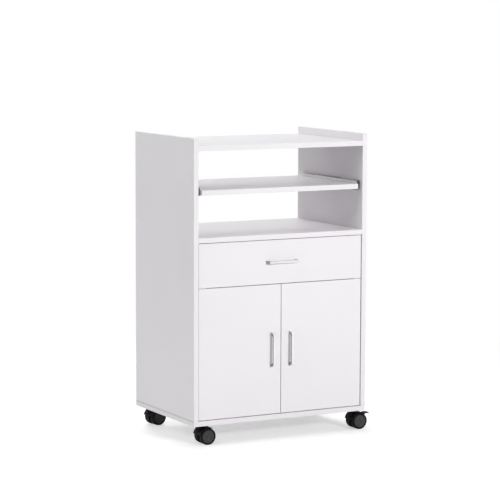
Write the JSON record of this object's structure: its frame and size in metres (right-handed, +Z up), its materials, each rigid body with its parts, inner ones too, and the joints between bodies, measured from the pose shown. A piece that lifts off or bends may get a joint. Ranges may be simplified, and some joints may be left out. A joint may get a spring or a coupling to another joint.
{
  "type": "microwave stand",
  "caption": "Rolling kitchen stand: flat top between raised sides, open niche with pull-out shelf, inset drawer, cupboard with inset doors, twin-wheel casters.",
  "frame": {"origin": "on the floor, at the centre of the box that the whole stand fills", "axes": "+X to the right, +Y to the back, +Z up; the doors and drawer face -Y"},
  "size_m": [0.618, 0.415, 0.914],
  "materials": {
    "white_board": "satin white foil on particle board",
    "white_front": "satin white foil on particle board",
    "white_hardboard": "white lacquered hardboard, brown at the back",
    "handle": "satin nickel",
    "slide_steel": "zinc plated",
    "cage_steel": "bright zinc",
    "caster_body": "moulded, fine grain",
    "caster_wheel": "moulded, black tread and grey disc",
    "brake_lever": "moulded",
    "zinc_steel": "zinc plated",
    "bright_steel": "bright zinc",
    "plain_wood": "beech, unfinished",
    "nylon": "moulded nylon",
    "white_plastic": "moulded",
    "white_steel": "white powder coat"
  },
  "bodies": {
    "carcass": {"side_panel_left": "white_board", "side_panel_right": "white_board", "top_board": "white_board", "niche_floor": "white_board", "drawer_divider": "white_board", "bottom_board": "white_board", "back_panel": "white_hardboard", "cupboard_shelf": "white_board", "shelf_pins": "bright_steel", "cam_bolts": "zinc_steel", "cam_locks": "zinc_steel", "dowels": "plain_wood", "shelf_slide_rails": "slide_steel", "drawer_slide_rails": "slide_steel", "pivot_brackets": "white_steel", "pivot_pins": "bright_steel", "door_catch": "white_plastic", "caster_plates": "zinc_steel", "caster_screws": "bright_steel"},
    "pull_out_shelf": {"pull_shelf": "white_board", "shelf_slide_runners": "slide_steel"},
    "shelf_cages": {"shelf_ball_cages": "cage_steel"},
    "drawer": {"drawer_front": "white_front", "drawer_side_left": "white_board", "drawer_side_right": "white_board", "drawer_back": "white_board", "drawer_bottom": "white_hardboard", "drawer_handle": "handle", "drawer_handle_screws": "bright_steel", "drawer_slide_runners": "slide_steel"},
    "drawer_cages": {"drawer_ball_cages": "cage_steel"},
    "door_left": {"door_left": "white_front", "door_left_handle": "handle", "door_left_handle_screws": "bright_steel", "door_left_bushings": "nylon", "door_left_strike_plate": "bright_steel"},
    "door_right": {"door_right": "white_front", "door_right_handle": "handle", "door_right_handle_screws": "bright_steel", "door_right_bushings": "nylon", "door_right_strike_plate": "bright_steel"},
    "caster_front_left": {"fork_front_left": "caster_body", "axle_front_left": "zinc_steel"},
    "near_wheel_front_left": {"near_wheel_front_left": "caster_wheel"},
    "far_wheel_front_left": {"far_wheel_front_left": "caster_wheel"},
    "caster_front_right": {"fork_front_right": "caster_body", "axle_front_right": "zinc_steel"},
    "near_wheel_front_right": {"near_wheel_front_right": "caster_wheel"},
    "far_wheel_front_right": {"far_wheel_front_right": "caster_wheel"},
    "brake_front_right": {"brake_lever_front_right": "brake_lever"},
    "caster_rear_left": {"fork_rear_left": "caster_body", "axle_rear_left": "zinc_steel"},
    "near_wheel_rear_left": {"near_wheel_rear_left": "caster_wheel"},
    "far_wheel_rear_left": {"far_wheel_rear_left": "caster_wheel"},
    "caster_rear_right": {"fork_rear_right": "caster_body", "axle_rear_right": "zinc_steel"},
    "near_wheel_rear_right": {"near_wheel_rear_right": "caster_wheel"},
    "far_wheel_rear_right": {"far_wheel_rear_right": "caster_wheel"},
    "brake_rear_right": {"brake_lever_rear_right": "brake_lever"}
  },
  "joints": [
    {"name": "shelf_slide", "type": "slide", "parent": "carcass", "child": "pull_out_shelf", "axis": [0, -1, 0], "range_m": [0, 0.24]},
    {"name": "shelf_cage_slide", "type": "slide", "parent": "carcass", "child": "shelf_cages", "axis": [0, -1, 0], "range_m": [0, 0.12]},
    {"name": "drawer_slide", "type": "slide", "parent": "carcass", "child": "drawer", "axis": [0, -1, 0], "range_m": [0, 0.24]},
    {"name": "drawer_cage_slide", "type": "slide", "parent": "carcass", "child": "drawer_cages", "axis": [0, -1, 0], "range_m": [0, 0.12]},
    {"name": "door_left_swing", "type": "hinge", "parent": "carcass", "child": "door_left", "pos_m": [-0.2735, -0.182, 0.077], "axis": [0, 0, -1], "range_deg": [0, 110]},
    {"name": "door_right_swing", "type": "hinge", "parent": "carcass", "child": "door_right", "pos_m": [0.2455, -0.182, 0.077], "axis": [0, 0, 1], "range_deg": [0, 110]},
    {"name": "swivel_front_left", "type": "hinge", "parent": "carcass", "child": "caster_front_left", "pos_m": [-0.277, -0.1605, 0.06], "axis": [0, 0, 1], "continuous": true},
    {"name": "roll_near_wheel_front_left", "type": "hinge", "parent": "caster_front_left", "child": "near_wheel_front_left", "pos_m": [-0.256, -0.1605, 0.025], "axis": [0, 1, 0], "continuous": true},
    {"name": "roll_far_wheel_front_left", "type": "hinge", "parent": "caster_front_left", "child": "far_wheel_front_left", "pos_m": [-0.256, -0.1605, 0.025], "axis": [0, 1, 0], "continuous": true},
    {"name": "swivel_front_right", "type": "hinge", "parent": "carcass", "child": "caster_front_right", "pos_m": [0.249, -0.1605, 0.06], "axis": [0, 0, 1], "continuous": true},
    {"name": "roll_near_wheel_front_right", "type": "hinge", "parent": "caster_front_right", "child": "near_wheel_front_right", "pos_m": [0.27, -0.1605, 0.025], "axis": [0, 1, 0], "continuous": true},
    {"name": "roll_far_wheel_front_right", "type": "hinge", "parent": "caster_front_right", "child": "far_wheel_front_right", "pos_m": [0.27, -0.1605, 0.025], "axis": [0, 1, 0], "continuous": true},
    {"name": "brake_front_right_press", "type": "hinge", "parent": "caster_front_right", "child": "brake_front_right", "pos_m": [0.2825, -0.1605, 0.0395], "axis": [0, 1, 0], "range_deg": [0, 14]},
    {"name": "swivel_rear_left", "type": "hinge", "parent": "carcass", "child": "caster_rear_left", "pos_m": [-0.277, 0.1755, 0.06], "axis": [0, 0, 1], "continuous": true},
    {"name": "roll_near_wheel_rear_left", "type": "hinge", "parent": "caster_rear_left", "child": "near_wheel_rear_left", "pos_m": [-0.2562, 0.17842, 0.025], "axis": [-0.1392, 0.9903, 0], "continuous": true},
    {"name": "roll_far_wheel_rear_left", "type": "hinge", "parent": "caster_rear_left", "child": "far_wheel_rear_left", "pos_m": [-0.2562, 0.17842, 0.025], "axis": [-0.1392, 0.9903, 0], "continuous": true},
    {"name": "swivel_rear_right", "type": "hinge", "parent": "carcass", "child": "caster_rear_right", "pos_m": [0.249, 0.1755, 0.06], "axis": [0, 0, 1], "continuous": true},
    {"name": "roll_near_wheel_rear_right", "type": "hinge", "parent": "caster_rear_right", "child": "near_wheel_rear_right", "pos_m": [0.27, 0.1755, 0.025], "axis": [0, 1, 0], "continuous": true},
    {"name": "roll_far_wheel_rear_right", "type": "hinge", "parent": "caster_rear_right", "child": "far_wheel_rear_right", "pos_m": [0.27, 0.1755, 0.025], "axis": [0, 1, 0], "continuous": true},
    {"name": "brake_rear_right_press", "type": "hinge", "parent": "caster_rear_right", "child": "brake_rear_right", "pos_m": [0.2825, 0.1755, 0.0395], "axis": [0, 1, 0], "range_deg": [0, 14]}
  ],
  "couplings": [
    {"joint": "shelf_cage_slide", "follows": "shelf_slide", "ratio": 0.5},
    {"joint": "drawer_cage_slide", "follows": "drawer_slide", "ratio": 0.5}
  ]
}
